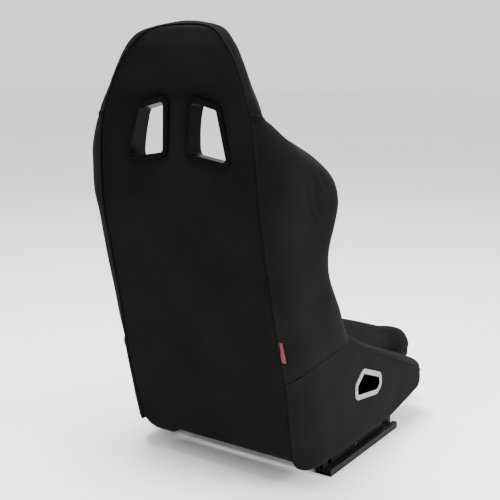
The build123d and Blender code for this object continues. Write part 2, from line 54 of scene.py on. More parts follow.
# Half width to the rear seam, as (z, x), and the crown's seam, as (x, z).
SEAM_X = [(40, 204), (62, 205), (170, 209), (265, 210), (360, 204), (434, 203), (500, 201),
          (570, 201), (634, 198), (726, 192), (786, 183), (813, 173.5), (839, 163), (868, 150),
          (893, 136), (918, 115.5)]
CROWN = [(0, 956), (33, 955), (62, 951), (91.5, 940), (115.5, 918)]
# Folds in the cloth of the shoulder, as (y, z).
FOLDS = [[(314, 668), (309, 640), (298, 610), (272, 572)], [(298, 676), (286, 652), (268, 628)]]
# Centre line of the pads' front, as (z, y).
FRONT_Y = [(124, 195), (180, 200), (260, 214), (420, 256), (560, 294), (650, 320), (730, 335),
           (775, 333), (850, 308), (915, 295), (953, 306)]
# Torso side, from the base seam up to the neck: rear seam height, front edge height,
# half width behind, in the middle and at the front edge, and the front edge's y.
TORSO = [(251, 300, 237, 250, 250, 128), (330, 352, 235.5, 250, 252, 158),
         (395, 410, 236.5, 251, 254.5, 196), (455, 462, 237, 250.5, 250.5, 218),
         (515, 517, 237, 252, 256, 228), (570, 571, 237.5, 255.5, 268, 232),
         (625, 622, 240, 260, 278, 238), (672, 662, 240, 260, 272, 250),
         (712, 698, 237, 252, 252, 278), (745, 727, 228, 236, 223, 307),
         (768, 750, 213, 218, 199, 337), (786, 778, 198, 203, 180, 352)]
# Head side, from the neck to the middle of the crown: rear seam, widest line, front edge.
HEAD = [((183, 394, 786), (202, 384, 782), (179, 352, 780)),
        ((173.5, 392.5, 813), (187, 385, 811), (164, 347, 808)),
        ((163, 390, 839), (173.5, 384, 836), (147, 341, 835)),
        ((150, 387, 868), (160.5, 381, 866), (131, 336, 864)),
        ((136, 384, 893), (147, 378, 893), (115, 331, 889)),
        ((115.5, 380, 918), (129.5, 374, 920), (98, 325, 913)),
        ((91.5, 372, 940), (104, 366, 943), (73, 319, 935)),
        ((62, 365, 951), (68, 353, 954.5), (49, 314, 943)),
        ((33, 360, 955), (35, 336, 958.5), (25, 311, 946)),
        ((0, 358, 956), (0, 330, 960), (0, 310, 947))]
# Base side seen from the side, as (y, z): its top edge and its bottom edge, from the rear.
BASE_TOP = [(311, 251), (287, 270), (250, 281), (192, 288), (118, 300), (86, 287), (35, 260),
            (-19, 236), (-116, 190), (-185, 161), (-235, 141), (-266, 128), (-285, 117)]
BASE_LOW = [(268, 62), (261, 52), (249, 47), (230, 48), (200, 51), (120, 51), (0, 51),
            (-60, 50), (-110, 52), (-170, 62), (-227, 72), (-268, 81), (-288, 96)]
# The left cover's bottom edge starts higher; it joins BASE_LOW after its fourth point.
LEFT_CORNER = [(274, 82), (266, 68), (252, 60), (229, 55)]
# Crest of the thigh roll above that top edge, and the cushion's top, as (y, z), from the front.
CREST = [(-304, 122), (-293, 135), (-277, 146), (-231, 168), (-129, 209), (-29, 248), (31, 273),
         (94, 302), (118, 300), (150, 291), (225, 262)]
CUSHION_TOP = [(-353, 150), (-352, 184), (-344, 195), (-305, 200), (-255, 191), (-200, 177),
               (-80, 151), (60, 130), (185, 124)]
CUSHION_HALF = 161
# Corners of the openings: harness holes in (X, Z), belt holes in (Y, Z).
HARNESS_HOLE = [(24, 823), (21, 699), (141, 680), (105, 803)]
BELT_HOLE = [(54, 220), (-34, 186), (-42, 155), (-17, 138), (89, 154), (92, 190)]
OPENING_CORNER = 18.0
# The harness sleeve's front flange leans back above this height.
HARNESS_MID = 750
HARNESS_LEAN = math.tan(math.radians(4.0))
COVER_CUT = 4.0           # how far inside its opening a cover is cut
FOAM_CUT = 9.0            # and a pad
HANDS = ((1, "left"), (-1, "right"))


# ------------------------------------------------------------------ curves and patches
def hermite(s, points, t):
    """The smooth curve through points, which lie at s, read at t."""
    step = np.diff(s)[:, None]
    slope = np.diff(points, axis=0) / step
    tangent = np.empty_like(points)
    tangent[1:-1] = (slope[:-1] * step[1:] + slope[1:] * step[:-1]) / (step[:-1] + step[1:])
    if len(points) == 2:
        tangent[:] = slope[0]
    else:
        tangent[0] = 1.5 * slope[0] - 0.5 * tangent[1]
        tangent[-1] = 1.5 * slope[-1] - 0.5 * tangent[-2]
    i = np.clip(np.searchsorted(s, t, side="right") - 1, 0, len(s) - 2)
    u = ((t - s[i]) / (s[i + 1] - s[i]))[:, None]
    h = step[i]
    return ((2 * u ** 3 - 3 * u ** 2 + 1) * points[i] + (u ** 3 - 2 * u ** 2 + u) * h * tangent[i]
            + (3 * u ** 2 - 2 * u ** 3) * points[i + 1] + (u ** 3 - u ** 2) * h * tangent[i + 1])


def chord(points):
    """Where each point lies along its line, from 0 to 1."""
    run = np.r_[0, np.cumsum(np.linalg.norm(np.diff(points, axis=0), axis=1))]
    return run / run[-1]


def through(points, t):
    """The smooth curve through points, read at shares t of its length."""
    points = np.asarray(points, float)
    return hermite(chord(points), points, np.asarray(t, float))


def look_up(table, x):
    """Reads a (key, value) table with a smooth curve between its entries."""
    table = np.asarray(table, float)
    x = np.clip(np.atleast_1d(x).astype(float), table[0, 0], table[-1, 0])
    return hermite(table[:, 0], table[:, 1:], x.ravel())[:, 0].reshape(x.shape)


def stations(length, step, fine=(True, True)):
    """Places from 0 to 1 along a length, closer together near a seamed end."""
    near = np.array([1.0, 2.0, 3.2, 5.0, 7.5])
    start = near if fine[0] else near[:0]
    end = length - near[::-1] if fine[1] else near[:0]
    low = start[-1] if fine[0] else 0
    high = end[0] if fine[1] else length
    count = max(3, int((high - low) / step) + 1)
    return np.unique(np.r_[0, start, np.linspace(low, high, count), end, length]) / length


def patch(grid, tu, tv):
    """A surface through a coarse grid of points: rows run along v, each row along u."""
    rows = np.array([through(row, tu) for row in grid])
    columns = [rows[:, k] for k in range(rows.shape[1])]
    s = np.mean([chord(column) for column in columns], axis=0)
    return np.stack([hermite(s, column, tv) for column in columns], axis=1)


def normals(P):
    """Unit normals of a grid of points, along du x dv."""
    du = np.gradient(P, axis=1)
    dv = np.gradient(P, axis=0)
    n = np.cross(du, dv)
    return n / np.maximum(np.linalg.norm(n, axis=2, keepdims=True), 1e-9)


def run_along(P, axis):
    """Length along each line of a grid, from its start."""
    steps = np.linalg.norm(np.diff(P, axis=axis), axis=2)
    run = np.cumsum(steps, axis=axis)
    zero = np.zeros_like(np.take(run, [0], axis=axis))
    return np.concatenate([zero, run], axis=axis)


def seamed(P, edges, depth=1.2, width=1.8, out=1.0):
    """Turns a panel's sewn edges in and lets the cloth stand up beside them.

    edges names the sewn ones of left (u=0), right, low (v=0) and high; out is the sign of
    the outward normal.
    """
    n = normals(P) * out
    u = run_along(P, 1)
    v = run_along(P, 0)
    distance = {"left": u, "right": u[:, -1:] - u, "low": v, "high": v[-1:] - v}
    shift = np.zeros(P.shape[:2])
    for name in edges:
        d = distance[name]
        along = v if name in ("left", "right") else u
        pucker = np.sin(along / 3.6 + 2.5 * np.sin(along / 47.0))
        shift -= depth * np.exp(-(d / width) ** 2)
        shift += (0.7 + 0.3 * pucker) * np.exp(-((d - 9.0) / 5.0) ** 2)
    return P + n * shift[..., None]


def folded(P, path, out, depth=3.0, width=3.4):
    """A fold along a path in (Y, Z): a crease that fades at its ends, and a swell before it."""
    n = normals(P) * out
    t = np.linspace(0, 1, 60)
    line = through(path, t)
    away = P[:, :, None, 1:] - line
    gap = np.linalg.norm(away, axis=3)
    near = gap.argmin(axis=2)
    gap = gap.min(axis=2)
    ahead = -np.sign(np.take_along_axis(away[..., 0], near[..., None], axis=2)[..., 0])
    fade = np.sin(np.pi * np.clip(t[near], 0.02, 0.98)) ** 0.6
    shift = -depth * np.exp(-(gap / width) ** 2)
    shift += 0.8 * depth * np.exp(-((ahead * gap - 2.4 * width) / (1.8 * width)) ** 2)
    return P + n * (shift * fade)[..., None]


def edge_line(P, edge, distance, out=1.0):
    """Points and outward normals of P on a line at a distance from one of its edges."""
    both = np.concatenate([P, normals(P) * out], axis=2)
    if edge in ("low", "high"):
        both = both.transpose(1, 0, 2)
    if edge in ("right", "high"):
        both = both[:, ::-1]
    run = run_along(both[..., :3], 1)
    return np.array([[np.interp(distance, s, row[:, k]) for k in range(6)]
                     for s, row in zip(run, both)])


def crumpled(P, size, height, out=1.0, seed=0.0):
    """Slow uneven swells, as cloth over foam has."""
    n = normals(P) * out
    flat = P.reshape(-1, 3)
    lift = np.array([noise.noise(Vector(p / size) + Vector((seed, seed, seed))) for p in flat])
    u, v = run_along(P, 1), run_along(P, 0)
    edge = np.minimum.reduce([u, u[:, -1:] - u, v, v[-1:] - v])
    lift = lift.reshape(P.shape[:2]) * (1 - np.exp(-(edge / 14.0) ** 2))
    return P + n * (lift * height)[..., None]


# ------------------------------------------------------------------ meshes
def new_object(name, vertices, faces):
    mesh = bpy.data.meshes.new(name)
    mesh.from_pydata([tuple(v) for v in vertices], [], faces)
    mesh.validate()
    obj = bpy.data.objects.new(name, mesh)
    bpy.context.scene.collection.objects.link(obj)
    return obj


def edit_mesh(obj, change):
    bm = bmesh.new()
    bm.from_mesh(obj.data)
    change(bm)
    bm.to_mesh(obj.data)
    bm.free()


def merge_close(obj, distance=0.08 * MM):
    edit_mesh(obj, lambda bm: bmesh.ops.remove_doubles(bm, verts=bm.verts, dist=distance))


def turn_out(obj):
    edit_mesh(obj, lambda bm: bmesh.ops.recalc_face_normals(bm, faces=bm.faces))


def shade_smooth(obj):
    obj.data.polygons.foreach_set("use_smooth", [True] * len(obj.data.polygons))
    obj.data.update()


def panel(name, P, thickness=3.0, out=1.0):
    """A sewn panel: a grid of points in mm, outer face up, closed by its thickness."""
    rows, cols = P.shape[:2]
    inner = P - normals(P) * out * thickness
    vertices = np.r_[P.reshape(-1, 3), inner.reshape(-1, 3)] * MM
    count = rows * cols
    faces = []
    for i in range(rows - 1):
        for j in range(cols - 1):
            a = i * cols + j
            quad = [a, a + 1, a + cols + 1, a + cols]
            faces.append(quad if out > 0 else quad[::-1])
            back = [k + count for k in quad]
            faces.append(back[::-1] if out > 0 else back)
    rim = (list(range(cols)) + [i * cols + cols - 1 for i in range(1, rows)]
           + [(rows - 1) * cols + j for j in range(cols - 2, -1, -1)]
           + [i * cols for i in range(rows - 2, 0, -1)])
    for a, b in zip(rim, rim[1:] + rim[:1]):
        side = [b, a, a + count, b + count]
        faces.append(side if out > 0 else side[::-1])
    obj = new_object(name, vertices, faces)
    merge_close(obj)
    shade_smooth(obj)
    return obj


def tube_form(name, loops):
    """A closed form from a row of closed loops, each with the same number of points."""
    loops = np.asarray(loops)
    rows, cols = loops.shape[:2]
    ends = [loops[0].mean(axis=0), loops[-1].mean(axis=0)]
    vertices = np.r_[loops.reshape(-1, 3), ends] * MM
    faces = []
    for i in range(rows - 1):
        for j in range(cols):
            k = (j + 1) % cols
            faces.append([i * cols + j, i * cols + k, (i + 1) * cols + k, (i + 1) * cols + j])
    low, high = rows * cols, rows * cols + 1
    for j in range(cols):
        k = (j + 1) % cols
        faces.append([low, k, j])
        faces.append([high, (rows - 1) * cols + j, (rows - 1) * cols + k])
    obj = new_object(name, vertices, faces)
    merge_close(obj)
    turn_out(obj)
    shade_smooth(obj)
    return obj


def at_length(line, s):
    """Rows of a line of points and normals at lengths s along it, and its directions."""
    run = np.r_[0, np.cumsum(np.linalg.norm(np.diff(line[:, :3], axis=0), axis=1))]
    rows = np.stack([np.interp(s, run, line[:, k]) for k in range(6)], axis=1)
    after = np.stack([np.interp(s + 0.5, run, line[:, k]) for k in range(3)], axis=1)
    before = np.stack([np.interp(s - 0.5, run, line[:, k]) for k in range(3)], axis=1)
    way = after - before
    return rows, way / np.maximum(np.linalg.norm(way, axis=1, keepdims=True), 1e-9)


def cord_mesh(centres, ways, lifts, radii, sides=8):
    """Vertices and faces of one round cord through centres, closed at its ends."""
    across = np.cross(ways, lifts)
    across /= np.maximum(np.linalg.norm(across, axis=1, keepdims=True), 1e-9)
    up = np.cross(across, ways)
    vertices, faces = [], []
    for a in np.arange(sides) * 2 * np.pi / sides:
        vertices.append(centres + (across * np.cos(a) + up * np.sin(a)) * radii[:, None])
    vertices = np.stack(vertices, axis=1).reshape(-1, 3)
    count = len(centres)
    for i in range(count - 1):
        for j in range(sides):
            k = (j + 1) % sides
            faces.append([i * sides + j, i * sides + k, (i + 1) * sides + k,
                          (i + 1) * sides + j])
    faces.append(list(range(sides))[::-1])
    faces.append([(count - 1) * sides + j for j in range(sides)])
    return vertices, faces


def stitched(name, line, pitch=4.6, length=3.3, radius=0.42):
    """A row of thread stitches along a line of points and normals."""
    run = np.linalg.norm(np.diff(line[:, :3], axis=0), axis=1).sum()
    vertices, faces = [], []
    count = 0
    for middle in np.arange(8, run - 8, pitch):
        t = np.linspace(-0.5, 0.5, 5)
        rows, ways = at_length(line, middle + t * length)
        centres = rows[:, :3] + rows[:, 3:] * (0.35 - 2.6 * t ** 2)[:, None]
        v, f = cord_mesh(centres, ways, rows[:, 3:], radius * np.array([0.6, 1, 1, 1, 0.6]), 6)
        vertices.append(v)
        faces += [[k + count for k in face] for face in f]
        count += len(v)
    obj = new_object(name, np.concatenate(vertices) * MM, faces)
    shade_smooth(obj)
    return obj


def welted(name, line, radius=1.5, sunk=0.5):
    """A piped edge: a round cord half sunk in the cloth along a line."""
    run = np.linalg.norm(np.diff(line[:, :3], axis=0), axis=1).sum()
    rows, ways = at_length(line, np.linspace(0, run, int(run / 3) + 2))
    radii = radius * np.clip(np.minimum(np.arange(len(rows)), np.arange(len(rows))[::-1]) / 8,
                             0.25, 1)
    centres = rows[:, :3] - rows[:, 3:] * sunk
    vertices, faces = cord_mesh(centres, ways, rows[:, 3:], radii)
    obj = new_object(name, vertices * MM, faces)
    shade_smooth(obj)
    return obj


def apply_modifiers(obj):
    """Leaves the mesh as its modifiers make it, and no modifiers."""
    depsgraph = bpy.context.evaluated_depsgraph_get()
    mesh = bpy.data.meshes.new_from_object(obj.evaluated_get(depsgraph))
    obj.modifiers.clear()
    old = obj.data
    obj.data = mesh
    bpy.data.meshes.remove(old)
    mesh.name = obj.name


def add_modifier(obj, kind, **settings):
    modifier = obj.modifiers.new(kind.title(), kind)
    for key, value in settings.items():
        setattr(modifier, key, value)
    return modifier


def rounded(outline, inset, radius, steps=6):
    """An outline's edges moved in by inset, then its corners rounded to radius - inset."""
    points = np.array(outline, float)
    centre = points.mean(axis=0)
    lines = []
    for a, b in zip(points, np.roll(points, -1, axis=0)):
        along = (b - a) / np.linalg.norm(b - a)
        inward = np.array([-along[1], along[0]])
        inward *= np.sign(np.dot(centre - a, inward))
        lines.append((a + inward * inset, along))
    ring = []
    for k, (a, along) in enumerate(lines):
        before, came = lines[k - 1]
        reach = np.linalg.solve(np.array([along, -came]).T, before - a)[0]
        corner = a + along * reach
        half = 0.5 * math.acos(np.clip(np.dot(-came, along), -1, 1))
        middle = (along - came) / np.linalg.norm(along - came)
        bend = max(radius - inset, 0.5)
        pivot = corner + middle * bend / math.sin(half)
        start = corner - came * bend / math.tan(half) - pivot
        end = corner + along * bend / math.tan(half) - pivot
        for t in np.linspace(0, 1, steps):
            ray = start * (1 - t) + end * t
            ring.append(pivot + ray / np.linalg.norm(ray) * bend)
    return ring


def prism(name, outline, inset, low, high, axis, lean=0.0):
    """A cutter along Y or X, from an outline drawn in (X, Z) or (Y, Z)."""
    ring = rounded(outline, inset, OPENING_CORNER)
    ends = []
    for depth in (low, high):
        for a, b in ring:
            along = depth - lean * (b - HARNESS_MID)
            ends.append((a, along, b) if axis == "Y" else (along, a, b))
    count = len(ring)
    faces = [list(range(count)), list(range(2 * count - 1, count - 1, -1))]
    for j in range(count):
        k = (j + 1) % count
        faces.append([k, j, j + count, k + count])
    obj = new_object(name, np.array(ends) * MM, faces)
    turn_out(obj)
    return obj


def cut(obj, cutter):
    """Takes cutter out of obj and deletes it."""
    add_modifier(obj, "BOOLEAN", object=cutter, operation="DIFFERENCE", solver="EXACT")
    apply_modifiers(obj)
    mesh = cutter.data
    bpy.data.objects.remove(cutter)
    bpy.data.meshes.remove(mesh)
    shade_smooth(obj)


def mirrored(points, side):
    """Left-hand points as they are, or mirrored for side -1."""
    points = np.array(points, float)
    points[..., 0] *= side
    return points


def coordinates(mesh):
    flat = np.zeros(len(mesh.vertices) * 3, np.float32)
    mesh.vertices.foreach_get("co", flat)
    return flat.reshape(-1, 3)


def harness_outline(side):
    return [(side * x, z) for x, z in HARNESS_HOLE]


def puffed(obj, voxel, cap, pressure=4.0, frames=20):
    """Remeshes a pad and lets cloth under pressure swell it, each point by at most cap."""
    add_modifier(obj, "REMESH", mode="VOXEL", voxel_size=voxel * MM)
    apply_modifiers(obj)
    shade_smooth(obj)
    start = coordinates(obj.data)
    cloth = obj.modifiers.new("Cloth", "CLOTH")
    cloth.settings.quality = 4
    cloth.settings.use_pressure = True
    cloth.settings.uniform_pressure_force = pressure
    cloth.settings.effector_weights.gravity = 0
    cloth.settings.mass = 0.3
    cloth.settings.tension_stiffness = 15
    cloth.settings.compression_stiffness = 15
    cloth.settings.bending_stiffness = 0.5
    cloth.point_cache.frame_start = 1
    cloth.point_cache.frame_end = frames
    for number in range(1, frames + 1):
        bpy.context.scene.frame_set(number)
    depsgraph = bpy.context.evaluated_depsgraph_get()
    move = coordinates(obj.evaluated_get(depsgraph).data) - start
    size = np.maximum(np.linalg.norm(move, axis=1, keepdims=True), 1e-9)
    limit = cap * MM
    move *= limit * np.tanh(size / limit) / size
    obj.modifiers.remove(cloth)
    obj.data.vertices.foreach_set("co", (start + move).ravel())
    obj.data.update()
    bpy.context.scene.frame_set(1)


# ------------------------------------------------------------------ materials
def node_material(name):
    material = bpy.data.materials.new(name)
    material.use_nodes = True
    tree = material.node_tree
    shader = tree.nodes["Principled BSDF"]
    return material, tree, shader


def link(tree, a, out, b, into):
    tree.links.new(a.outputs[out], b.inputs[into])


def add_node(tree, kind, **values):
    node = tree.nodes.new(kind)
    for key, value in values.items():
        if key in node.inputs:
            node.inputs[key].default_value = value
        else:
            setattr(node, key, value)
    return node


def colour_mix(tree, low, high, factor_node, factor_out):
    mix = tree.nodes.new("ShaderNodeMix")
    mix.data_type = "RGBA"
    mix.inputs[6].default_value = (*low, 1)
    mix.inputs[7].default_value = (*high, 1)
    link(tree, factor_node, factor_out, mix, 0)
    return mix


def cloth_material(name, dark, light, thread=900.0, roughness=0.9, sheen=0.012, relief=0.25):
    """Tight woven upholstery cloth: two crossed thread waves, lint and slow colour drift."""
    material, tree, shader = node_material(name)
    place = add_node(tree, "ShaderNodeTexCoord")
    turn = add_node(tree, "ShaderNodeMapping")
    turn.inputs["Rotation"].default_value = (0.0, 0.0, 0.62)
    link(tree, place, "Object", turn, "Vector")
    other = add_node(tree, "ShaderNodeMapping")
    other.inputs["Rotation"].default_value = (1.57, 0.0, -0.62)
    link(tree, place, "Object", other, "Vector")
    warp = add_node(tree, "ShaderNodeTexWave", wave_type="BANDS", bands_direction="DIAGONAL",
                    Scale=thread * 0.32, Distortion=0.6, Detail=1.0)
    weft = add_node(tree, "ShaderNodeTexWave", wave_type="BANDS", bands_direction="DIAGONAL",
                    Scale=thread * 0.32, Distortion=0.6, Detail=1.0)
    link(tree, turn, "Vector", warp, "Vector")
    link(tree, other, "Vector", weft, "Vector")
    weave = add_node(tree, "ShaderNodeMath", operation="MULTIPLY")
    link(tree, warp, "Fac", weave, 0)
    link(tree, weft, "Fac", weave, 1)
    lint = add_node(tree, "ShaderNodeTexNoise", Scale=1400.0, Detail=3.0)
    link(tree, place, "Object", lint, "Vector")
    drift = add_node(tree, "ShaderNodeTexNoise", Scale=9.0, Detail=4.0)
    link(tree, place, "Object", drift, "Vector")
    blend = add_node(tree, "ShaderNodeMath", operation="ADD")
    link(tree, weave, 0, blend, 0)
    link(tree, lint, "Fac", blend, 1)
    mixed = add_node(tree, "ShaderNodeMath", operation="MULTIPLY_ADD")
    link(tree, blend, 0, mixed, 0)
    mixed.inputs[1].default_value = 0.42
    link(tree, drift, "Fac", mixed, 2)
    spread = add_node(tree, "ShaderNodeMapRange")
    link(tree, mixed, 0, spread, "Value")
    spread.inputs["From Min"].default_value = 0.45
    spread.inputs["From Max"].default_value = 1.15
    mix = colour_mix(tree, dark, light, spread, "Result")
    link(tree, mix, 2, shader, "Base Color")
    bump = add_node(tree, "ShaderNodeBump", Strength=relief, Distance=0.0006)
    link(tree, blend, 0, bump, "Height")
    link(tree, bump, "Normal", shader, "Normal")
    shader.inputs["Roughness"].default_value = roughness
    shader.inputs["Sheen Weight"].default_value = sheen
    shader.inputs["Sheen Roughness"].default_value = 0.45
    shader.inputs["Specular IOR Level"].default_value = 0.02
    return material


def solid_material(name, dark, light, roughness=(0.3, 0.5), metallic=0.0, scale=60.0,
                   relief=0.08, grain=900.0, gloss=0.5):
    """Painted, plated or moulded parts: slow tone drift and fine grain."""
    material, tree, shader = node_material(name)
    place = add_node(tree, "ShaderNodeTexCoord")
    drift = add_node(tree, "ShaderNodeTexNoise", Scale=scale, Detail=5.0)
    link(tree, place, "Object", drift, "Vector")
    mix = colour_mix(tree, dark, light, drift, "Fac")
    link(tree, mix, 2, shader, "Base Color")
    fine = add_node(tree, "ShaderNodeTexNoise", Scale=grain, Detail=2.0)
    link(tree, place, "Object", fine, "Vector")
    rough = add_node(tree, "ShaderNodeMapRange")
    link(tree, fine, "Fac", rough, "Value")
    rough.inputs["To Min"].default_value = roughness[0]
    rough.inputs["To Max"].default_value = roughness[1]
    link(tree, rough, "Result", shader, "Roughness")
    bump = add_node(tree, "ShaderNodeBump", Strength=relief, Distance=0.0004)
    link(tree, fine, "Fac", bump, "Height")
    link(tree, bump, "Normal", shader, "Normal")
    shader.inputs["Metallic"].default_value = metallic
    shader.inputs["Specular IOR Level"].default_value = gloss
    return material


def label_material(name, ground, thread):
    """A woven label: ribs of thread across it, and plain blocks in place of letters."""
    material, tree, shader = node_material(name)
    place = add_node(tree, "ShaderNodeTexCoord")
    split = add_node(tree, "ShaderNodeSeparateXYZ")
    link(tree, place, "Object", split, "Vector")
    blocks = add_node(tree, "ShaderNodeTexNoise", Scale=260.0, Detail=1.0)
    link(tree, place, "Object", blocks, "Vector")
    sharp = add_node(tree, "ShaderNodeMapRange")
    sharp.inputs["From Min"].default_value = 0.6
    sharp.inputs["From Max"].default_value = 0.64
    link(tree, blocks, "Fac", sharp, "Value")
    mix = colour_mix(tree, ground, thread, sharp, "Result")
    link(tree, mix, 2, shader, "Base Color")
    ribs = add_node(tree, "ShaderNodeMath", operation="SINE")
    scaled = add_node(tree, "ShaderNodeMath", operation="MULTIPLY")
    link(tree, split, "Z", scaled, 0)
    scaled.inputs[1].default_value = 9000.0
    link(tree, scaled, 0, ribs, 0)
    bump = add_node(tree, "ShaderNodeBump", Strength=0.3, Distance=0.0003)
    link(tree, ribs, 0, bump, "Height")
    link(tree, bump, "Normal", shader, "Normal")
    shader.inputs["Roughness"].default_value = 0.6
    return material


def grey(value):
    return (value, value, value)


# The rear panel's cloth is the side cloth made darker and a little warmer. Its darkness is
# painted shade for a rear that faces away from the lamps, not a different cloth.
CLOTH_REAR_PAINTED_SHADE = cloth_material("cloth_rear_painted_shade", (0.0028, 0.0028, 0.0025), (0.0060, 0.0060, 0.0053))
CLOTH_SIDE = cloth_material("cloth_side", (0.0034, 0.0034, 0.0033), (0.0071, 0.0071, 0.0069))
CLOTH_PAD = cloth_material("cloth_pad", grey(0.0040), (0.0086, 0.0086, 0.0084),
                           thread=700.0, relief=0.35)
THREAD = cloth_material("thread", grey(0.010), grey(0.030), thread=2600.0)
WEBBING = cloth_material("webbing", grey(0.02), grey(0.05), thread=420.0)
FRAME_PAINT = solid_material("frame_paint", grey(0.012), grey(0.03), (0.5, 0.65), gloss=0.08)
RAIL_COAT = solid_material("rail_coat", (0.004, 0.004, 0.0045), (0.010, 0.010, 0.011),
                           (0.36, 0.5), scale=35.0, gloss=0.06)
ZINC = solid_material("zinc", grey(0.08), (0.16, 0.16, 0.165), (0.3, 0.5), 1.0)
BEZEL_BLACK = solid_material("bezel_black", grey(0.0012), grey(0.0026), (0.3, 0.42),
                             relief=0.03, gloss=0.03)
BEZEL_SILVER = solid_material("bezel_silver", (0.13, 0.135, 0.135), (0.19, 0.195, 0.195),
                              (0.34, 0.46), 0.3, scale=120.0, relief=0.05)
GRIP_FOAM = solid_material("grip_foam", grey(0.012), grey(0.02), (0.75, 0.9),
                           grain=2200.0, relief=0.5)
CAGE_PLASTIC = solid_material("cage_plastic", (0.30, 0.29, 0.25), (0.42, 0.41, 0.36),
                              (0.4, 0.5))
LABEL = label_material("label_red", (0.085, 0.0030, 0.0025), (0.11, 0.012, 0.010))

# The CAD nodes' looks, by their material slots.
NODE_LOOKS = {"frame_steel": FRAME_PAINT, "rail_steel": RAIL_COAT, "zinc_steel": ZINC,
              "bezel_black": BEZEL_BLACK, "bezel_silver": BEZEL_SILVER,
              "grip_rubber": GRIP_FOAM, "cage_plastic": CAGE_PLASTIC, "webbing": WEBBING,
              "tag_red": LABEL}


def dress(obj, material):
    obj.data.materials.clear()
    obj.data.materials.append(material)


for obj in nodes.values():
    look = NODE_LOOKS.get(obj.data.materials[0].name.split(".")[0])
    if look:
        dress(obj, look)
# The grey belt trims are black inside, from just below their flanges.
BELT_FLANGE_X = 249.5 * MM
for _, hand in HANDS:
    mesh = nodes[f"belt_bezel_outer_{hand}"].data
    mesh.materials.append(BEZEL_BLACK)
    for face in mesh.polygons:
        face.material_index = int(abs(face.center.x) < BELT_FLANGE_X)


# ------------------------------------------------------------------ rear panel
CORNER_LIFT = 31
CORNER_SAG = 11


def rear_panel():
    """The rear panel: u across it from seam to seam, v up it to the crown's seam."""
    half = stations(205, 6, (False, True))
    tu = np.r_[-half[::-1], half[1:]]
    tv = stations(920, 6)
    low, corner = 60.0, CROWN[-1][1]
    a = np.abs(tu)
    crown = look_up(CROWN, a * CROWN[-1][0])
    points = np.zeros((len(tv), len(tu), 3))
    for i, v in enumerate(tv):
        z_side = low + (corner - low) * v
        x_side = look_up(SEAM_X, z_side)[0]
        arch = np.clip((v - 0.72) / 0.28, 0, 1) ** 1.6
        z = z_side + arch * (crown - corner)
        depth = look_up(DISH, z) * (1 - a ** 3.2)
        points[i, :, 0] = tu * x_side
        points[i, :, 1] = look_up(REAR_Y, z) - depth
        points[i, :, 2] = z
    roll = np.clip((74 - points[..., 2]) / 14, 0, 1)
    points[..., 1] -= 10 * roll ** 2
    sag = np.sin(0.5 * np.pi * np.clip((tu - 0.52) / 0.12, 0, 1)) ** 2
    rise = 1 - np.sqrt(1 - np.clip((tu - 0.84) / 0.16, 0, 1) ** 2)
    fade = np.clip((130 - points[..., 2]) / 70, 0, 1) ** 2
    points[..., 2] += (CORNER_LIFT * rise - CORNER_SAG * sag) * fade
    points = crumpled(points, 110.0, 1.6, out=-1.0, seed=3.1)
    return seamed(points, ("left", "right", "high"), depth=0.5, out=-1.0)


rear = panel("rear_panel", rear_panel(), out=-1.0)
for side, _ in HANDS:
    cut(rear, prism("cutter", harness_outline(side), COVER_CUT, 340, 430, "Y"))


# ------------------------------------------------------------------ sides of the back
BASE_SEAM = sorted(BASE_TOP)


def head_row(seam, widest, front):
    """One line across the head's side, from the rear seam to its turned-in front edge."""
    side_run = [widest + (front - widest) * share for share in (0.16, 0.55)]
    return [seam, widest, *side_run, front, front * (0.86, 1, 1) + (0, 2, -7)]


def torso_rows(side):
    """Lines across the torso side, each from the rear seam to its turned-in front edge."""
    rows = []
    for z_rear, z_edge, x_rear, x_mid, x_edge, y_edge in TORSO:
        y_rear = look_up(REAR_Y, z_rear)[0]
        seam = look_up(SEAM_X, z_rear)[0]

        def height(y):
            if not rows:
                return look_up(BASE_SEAM, y)[0]
            return z_rear + (z_edge - z_rear) * (y_rear - y) / (y_rear - y_edge)
        span = y_rear - y_edge
        corner = y_rear - min(22, 0.25 * span)
        middle = y_rear - 0.55 * span
        rows.append([(seam, y_rear, z_rear), (x_rear, corner, height(corner)),
                     (x_mid, middle, height(middle)), (x_edge, y_edge, z_edge),
                     (x_edge - 10, y_edge - 15, z_edge + 1),
                     (x_edge - 24, y_edge - 18, z_edge + 2)])
    neck = head_row(*np.array(HEAD[0], float))
    rows[-1] = through(neck, [0, 0.16, 0.45, 0.72, 0.86, 1])
    return mirrored(rows, side)


def torso_side(side):
    tu = stations(240, 3.5)
    tv = stations(520, 4)
    points = patch(torso_rows(side), tu, tv)
    points = crumpled(points, 70.0, 2.2, out=side, seed=7.7 * side)
    for path in FOLDS:
        points = folded(points, path, side)
    return seamed(points, ("left", "right", "low", "high"), out=side)


def head_side():
    """The band round the head, from the left end of the neck seam over the crown."""
    left = [head_row(*points) for points in np.array(HEAD, float)]
    right = [[(-x, y, z) for x, y, z in row] for row in left[:-1]]
    rows = np.array(left + right[::-1], float)
    points = patch(rows, stations(140, 5), stations(640, 5))
    points = crumpled(points, 70.0, 1.6, out=1, seed=5.2)
    return seamed(points, ("left", "right", "low", "high"), depth=0.6, out=1)


